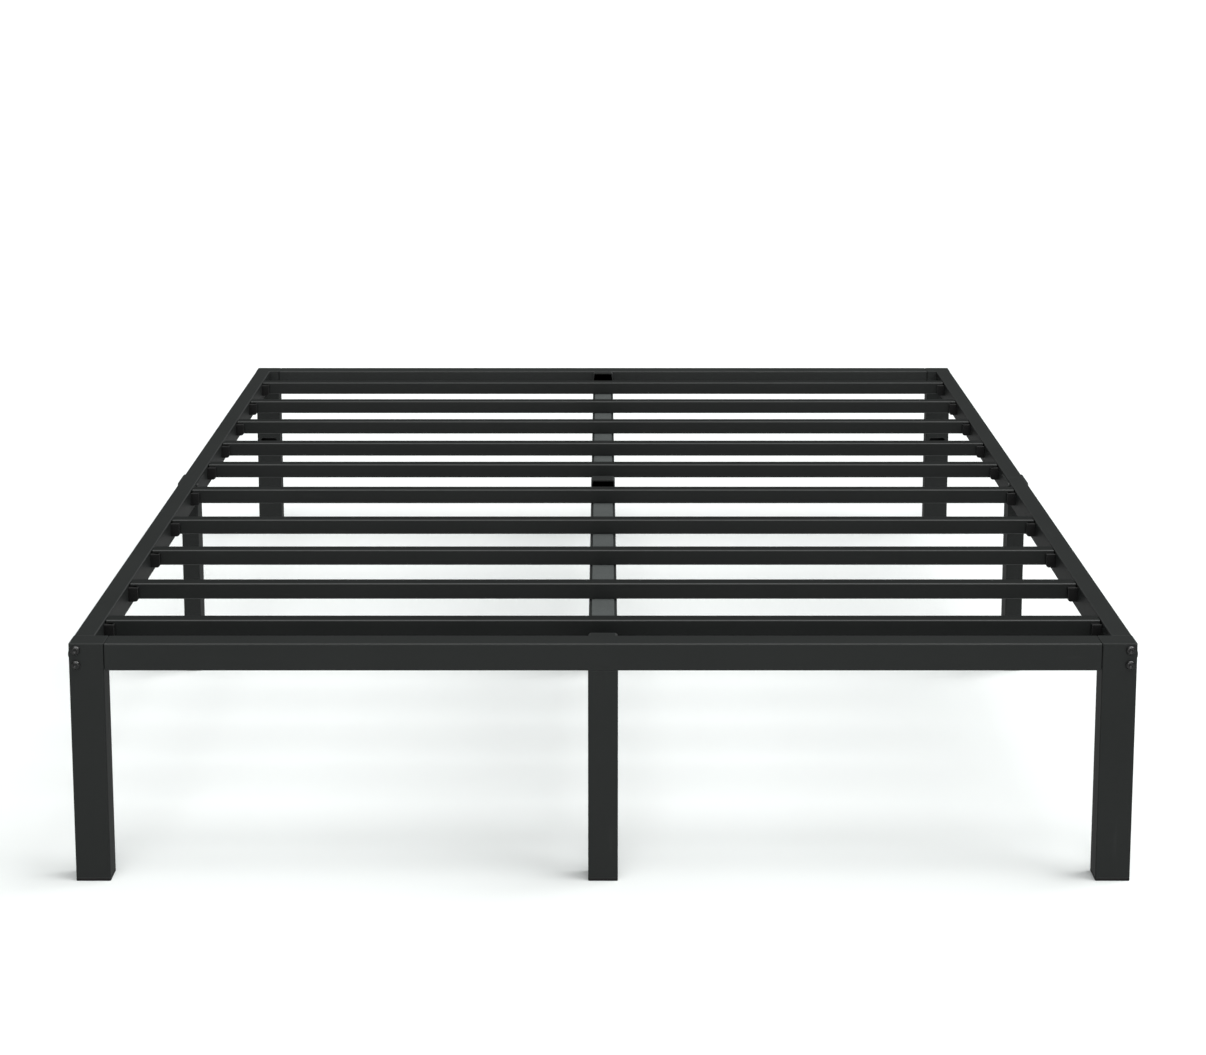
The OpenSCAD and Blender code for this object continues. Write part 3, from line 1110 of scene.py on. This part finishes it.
@dataclass
class Bolts(Fasteners):
    """Button-head bolts with a hex socket, a rolled thread and a chamfered tip."""

    shank: float = 8 * MILLIMETRE
    head: float = 14 * MILLIMETRE
    head_height: float = 4.4 * MILLIMETRE
    socket: float = 5 * MILLIMETRE
    socket_depth: float = 2.6 * MILLIMETRE
    socket_flat: float = 1.4 * MILLIMETRE
    rim: float = 0.9 * MILLIMETRE
    dome_steps: int = 8
    chamfer: float = 0.2 * MILLIMETRE
    thread: float = 9 * MILLIMETRE
    plain: float = 1.5 * MILLIMETRE
    pitch: float = 1.25 * MILLIMETRE
    pitch_steps: int = 8
    thread_depth: float = 0.62 * MILLIMETRE
    flank: float = 1.25
    lead: float = 1.2 * MILLIMETRE
    rim_share: float = 0.45
    first_turn: float = math.radians(17)
    next_turn: float = math.radians(67)

    def seats(self, node: str) -> Iterator[Seat]:
        """Where each bolt of a node sits.

        Args:
            node: The CAD node's name.

        Yields:
            Each bolt's seat, with the length of its shank.
        """
        for low, high, points in self.solids(node):
            span = high - low
            axis = max(range(3), key=lambda i: span[i])
            middle = (low + high) / 2
            near_rim = self.rim_share * self.head
            wide = [p[axis] for p in points if self.off_axis(p - middle, axis) > near_rim]
            way = 1 if sum(wide) / len(wide) > middle[axis] else -1
            origin = middle.copy()
            origin[axis] += way * (span[axis] / 2 - self.head_height)
            yield Seat(self.facing(axis, way, origin), span[axis] - self.head_height)

    @staticmethod
    def off_axis(offset: Vector, axis: int) -> float:
        """How far a point lies from the bolt's axis.

        Args:
            offset: The point, from the bolt's middle.
            axis: The bolt's axis.

        Returns:
            The distance.
        """
        return math.hypot(*[offset[i] for i in range(3) if i != axis])

    def shape(self, node: str) -> bmesh.types.BMesh:
        """Builds every bolt of a node.

        Args:
            node: The CAD node's name.

        Returns:
            The mesh.
        """
        solid = bmesh.new()
        for number, seat in enumerate(self.seats(node)):
            turn = Matrix.Rotation(self.first_turn + self.next_turn * number, 4, "Z")
            self.bolt(solid, seat.matrix @ turn, seat.length)
        return solid

    def bolt(self, solid: bmesh.types.BMesh, seat: Matrix, length: float) -> None:
        """Builds one bolt from its tip, over its head and down into its socket.

        Args:
            solid: The mesh to add to.
            seat: Where it sits.
            length: The length of its shank.
        """
        r = self.shank / 2
        root = r - self.thread_depth
        hair = self.chamfer
        start = -length + 1.5 * hair
        rings = [(root - hair, -length), (root, -length + hair)]
        turns = round(min(self.thread, length - self.plain) / self.pitch)
        for i in range(turns * self.pitch_steps):
            z = start + i * self.pitch / self.pitch_steps
            rings.append((self.thread_radius(z, length), z))
        rings += [(r, start + turns * self.pitch), (r, 0.0)]
        rings += [(self.head / 2 - hair, 0.0), (self.head / 2, hair), *self.dome()]
        mouth = self.socket / 2 + 2.2 * hair
        top = self.head_height
        rings += [(mouth + 2 * hair, top), (mouth, top - 0.6 * hair)]
        rings += [(self.hexagon, top - 2.5 * hair), (self.hexagon, top - self.socket_depth)]
        rings += [(self.socket / 4, top - self.socket_depth - 2.5 * hair)]
        lathe(solid, seat, rings, self.steps)

    def thread_radius(self, z: float, length: float) -> Rule:
        """The thread's radius at a height, as a rule on the angle.

        Args:
            z: The height.
            length: The length of the shank, whose tip the thread tapers to.

        Returns:
            A rule that gives the radius at an angle.
        """
        root = self.shank / 2 - self.thread_depth
        fade = min(1.0, (z + length) / self.lead)

        def radius(angle: float) -> float:
            """The radius at an angle round the shank."""
            phase = (z / self.pitch - angle / TURN) % 1.0
            valley = min(1.0, self.flank * abs(2 * phase - 1))
            return root + self.thread_depth * (1 - valley) * fade

        return radius

    def dome(self) -> list[Point]:
        """Radius and height of the head's dome, from its rim to its flat top.

        Returns:
            The points.
        """
        top = self.socket / 2 + self.socket_flat
        out, up = self.head / 2 - top, self.head_height - self.rim
        turns = (math.pi / 2 * i / self.dome_steps for i in range(self.dome_steps + 1))
        return [(top + out * math.cos(a), self.rim + up * math.sin(a)) for a in turns]

    def hexagon(self, angle: float) -> float:
        """The socket's radius at an angle.

        Args:
            angle: The angle round the bolt.

        Returns:
            The radius.
        """
        sixth = TURN / 6
        return self.socket / 2 / math.cos((angle % sixth) - sixth / 2)


@dataclass
class Nuts(Fasteners):
    """Hex nuts, chamfered on both faces, with a smooth bore whose mouths are countersunk."""

    bore: float = 8.1 * MILLIMETRE
    lead: float = 0.55 * MILLIMETRE
    chamfer: float = math.radians(30)
    washer_share: float = 0.475
    corner_share: float = 0.566

    def shape(self, node: str) -> bmesh.types.BMesh:
        """Builds every nut of a node.

        Args:
            node: The CAD node's name.

        Returns:
            The mesh.
        """
        solid = bmesh.new()
        for low, high, points in self.solids(node):
            span = high - low
            axis = min(range(3), key=lambda i: span[i])
            middle = (low + high) / 2
            corner = max(points, key=lambda p: (p - middle).length)
            flats = sorted(span)[1]
            seat = self.facing(axis, 1, middle)
            aim = seat.inverted() @ corner
            turned = seat @ Matrix.Rotation(math.atan2(aim.y, aim.x), 4, "Z")
            self.nut(solid, turned, flats, span[axis])
        return solid

    def nut(self, solid: bmesh.types.BMesh, seat: Matrix, flats: float, height: float) -> None:
        """Builds one nut.

        Args:
            solid: The mesh to add to.
            seat: The nut's middle, with a corner along its x axis.
            flats: The width across the flats.
            height: The nut's height.
        """
        sixth = TURN / 6
        half = height / 2
        washer = self.washer_share * flats
        bore, lead = self.bore / 2, self.lead

        def rim(angle: float) -> float:
            """The hexagon's radius at an angle, its corners eased."""
            sharp = flats / 2 / math.cos(((angle + sixth / 2) % sixth) - sixth / 2)
            return min(sharp, self.corner_share * flats)

        def drop(angle: float) -> float:
            """How far the chamfer falls at an angle."""
            return math.tan(self.chamfer) * (rim(angle) - washer)

        rings = [
            (bore, half - lead),
            (bore + lead, half),
            (washer, half),
            (rim, lambda a: half - drop(a)),
            (rim, lambda a: drop(a) - half),
            (washer, -half),
            (bore + lead, -half),
            (bore, lead - half),
        ]
        lathe(solid, seat, rings, self.steps, closed=True)


# Studio


@dataclass(frozen=True)
class Lamp:
    """A broad distant light, in degrees: bearing from +X towards +Y, rise up from the floor."""

    name: str
    strength: float
    bearing: float
    rise: float
    spread: float

    def build(self) -> None:
        """Adds the light."""
        data = bpy.data.lights.new(self.name, "SUN")
        data.energy = self.strength
        data.angle = math.radians(self.spread)
        lamp = bpy.data.objects.new(self.name, data)
        bpy.context.scene.collection.objects.link(lamp)
        turn, rise = math.radians(self.bearing), math.radians(self.rise)
        level = math.cos(rise)
        way = Vector((level * math.cos(turn), level * math.sin(turn), math.sin(rise)))
        lamp.rotation_euler = way.to_track_quat("Z", "Y").to_euler()


@dataclass
class Studio:
    """Pale floor, soft lights and the camera at the foot of the bed."""

    floor_reach: float = 70.0
    floor_cells: int = 8
    sky_low: float = 0.05
    sky_high: float = 0.60
    sky_rise: Sequence[float] = (0.45, 0.95)
    sky_tint: Colour = (0.985, 1.0, 0.992, 1.0)
    ground: float = 0.25
    ground_fall: Sequence[float] = (0.0, -0.15)
    lamps: tuple[Lamp, ...] = (
        Lamp("key_light", 2.25, 0, 57, 46),
        Lamp("front_fill", 0.9, -90, 20, 40),
        Lamp("edge_light", 0.95, -90, 73, 34),
    )
    camera_back: float = 3.496
    camera_height: float = 1.445
    camera_pitch: float = math.radians(9.31)
    camera_shift: float = -0.2
    camera_lens: float = 76.0
    camera_sensor: float = 36.0

    def build(self) -> None:
        """Builds the floor, the world, the lights and the camera."""
        self.floor()
        self.world()
        for lamp in self.lamps:
            lamp.build()
        self.camera()
        bpy.context.scene.view_settings.view_transform = "Standard"

    def floor(self) -> None:
        """Builds the floor, which no reflection shows."""
        solid = bmesh.new()
        cells = self.floor_cells
        bmesh.ops.create_grid(solid, x_segments=cells, y_segments=cells, size=self.floor_reach)
        mesh = bpy.data.meshes.new("floor")
        solid.to_mesh(mesh)
        solid.free()
        mesh.materials.append(FloorPaint().material())
        floor = bpy.data.objects.new("floor", mesh)
        bpy.context.scene.collection.objects.link(floor)
        floor.visible_glossy = False

    def world(self) -> None:
        """Lights the room from above, with dim walls, and shows white behind it all."""
        world = bpy.data.worlds.new("studio")
        world.use_nodes = True
        bpy.context.scene.world = world
        graph = Graph(world.node_tree)
        spot = graph.node("ShaderNodeTexCoord", output="Generated")
        height = graph.node("ShaderNodeSeparateXYZ", {}, {0: spot}, 2)
        rise = graph.ramp(height, *self.sky_rise) * (self.sky_high - self.sky_low)
        below = graph.ramp(height, *self.ground_fall) * (self.ground - self.sky_low)
        seen = graph.node("ShaderNodeLightPath", output="Is Camera Ray")
        shown = (self.sky_low + rise + below) * (1 - seen) + seen
        sockets = {"Color": self.sky_tint, "Strength": shown}
        graph.node_to_output("ShaderNodeOutputWorld", graph.node("ShaderNodeBackground", {}, sockets))

    def camera(self) -> None:
        """Places the camera in front of the foot rail, level across and pitched down."""
        data = bpy.data.cameras.new("camera")
        data.sensor_width = self.camera_sensor
        data.lens = self.camera_lens
        data.shift_y = self.camera_shift
        data.clip_end = 4 * self.floor_reach
        camera = bpy.data.objects.new("camera", data)
        bpy.context.scene.collection.objects.link(camera)
        camera.location = (0.0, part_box("rail_foot")[0].y - self.camera_back, self.camera_height)
        camera.rotation_euler = (math.pi / 2 - self.camera_pitch, 0.0, 0.0)
        bpy.context.scene.camera = camera


def names(*starts: str) -> tuple[str, ...]:
    """The CAD nodes whose names start in any of these ways.

    Args:
        starts: The starts.

    Returns:
        The names, in order.
    """
    return tuple(sorted(name for name in frame["nodes"] if name.startswith(starts)))


def names_ending(end: str) -> tuple[str, ...]:
    """The CAD nodes whose names end in this way.

    Args:
        end: The end.

    Returns:
        The names, in order.
    """
    return tuple(sorted(name for name in frame["nodes"] if name.endswith(end)))


def main() -> None:
    """Builds every sub-assembly."""
    logging.basicConfig(level=logging.INFO, format="%(name)s %(message)s")
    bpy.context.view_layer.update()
    Studio().build()
    steel = PowderCoat("frame_powder_coat").material()
    slat_steel = PowderCoat("slat_powder_coat", dark=0.0088, light=0.0118, roughness=0.40).material()
    rail_steel = PowderCoat("rail_powder_coat", scuff_stretch=(1.0, 0.08, 1.0)).material()
    upright_steel = PowderCoat("leg_powder_coat", scuff_stretch=(1.0, 1.0, 0.08)).material()
    # The third number of each plated finish is its edge colour, partly a painted highlight.
    raw_steel = PlatedSteel("sleeve_steel", 0.10, 0.16, 0.30, roughness=0.5).material()
    holder_plastic = MouldedPlastic("holder_nylon").material()
    glide_plastic = MouldedPlastic("glide_nylon", dark=0.005, light=0.008, roughness=0.48).material()
    foam = ClosedCellFoam("foam_tape").material()
    oxide = PlatedSteel("black_oxide", 0.05, 0.10, 0.22, metallic=0.85, roughness=0.28).material()
    zinc = PlatedSteel("zinc_plate", 0.22, 0.34, 0.50, 1.0, 1.03, metallic=1.0, roughness=0.34).material()
    bead = WeldBead(upright_steel)
    sub_assemblies = [
        Uprights(upright_steel, Slot.FRAME_STEEL, names("leg_foot", "leg_head"), edge=0.7 * MILLIMETRE),
        Uprights(upright_steel, Slot.FRAME_STEEL, names("leg_centre_foot", "leg_centre_head")),
        SideLegs(upright_steel, Slot.FRAME_STEEL, names("leg_side"), bead=bead),
        MiddleCentreLeg(upright_steel, Slot.FRAME_STEEL, ("leg_centre_mid",), bead=bead),
        SubAssembly(
            glide_plastic,
            Slot.GLIDE_PLASTIC,
            names("glide_"),
            edge=0.9 * MILLIMETRE,
            edge_steps=3,
        ),
        EndRails(steel, Slot.FRAME_STEEL, ("rail_foot", "rail_head")),
        SubAssembly(rail_steel, Slot.FRAME_STEEL, names("side_rail_foot", "side_rail_head", "centre_beam")),
        SubAssembly(raw_steel, Slot.SLEEVE_STEEL, names("rail_sleeve")),
        SubAssembly(
            holder_plastic,
            Slot.HOLDER_PLASTIC,
            names("slat_holders"),
            edge=0.8 * MILLIMETRE,
            edge_steps=3,
        ),
        SubAssembly(slat_steel, Slot.SLAT_STEEL, names("slat_0", "slat_1"), edge=0.25 * MILLIMETRE),
        FoamStrips(foam, Slot.FOAM_STRIP, names("beam_pad")),
        Bolts(oxide, Slot.BOLT_BLACK, names_ending("_bolts")),
        Nuts(zinc, Slot.NUT_ZINC, names_ending("_nuts")),
    ]
    for sub_assembly in sub_assemblies:
        sub_assembly.build()


if __name__ == "__main__":
    main()
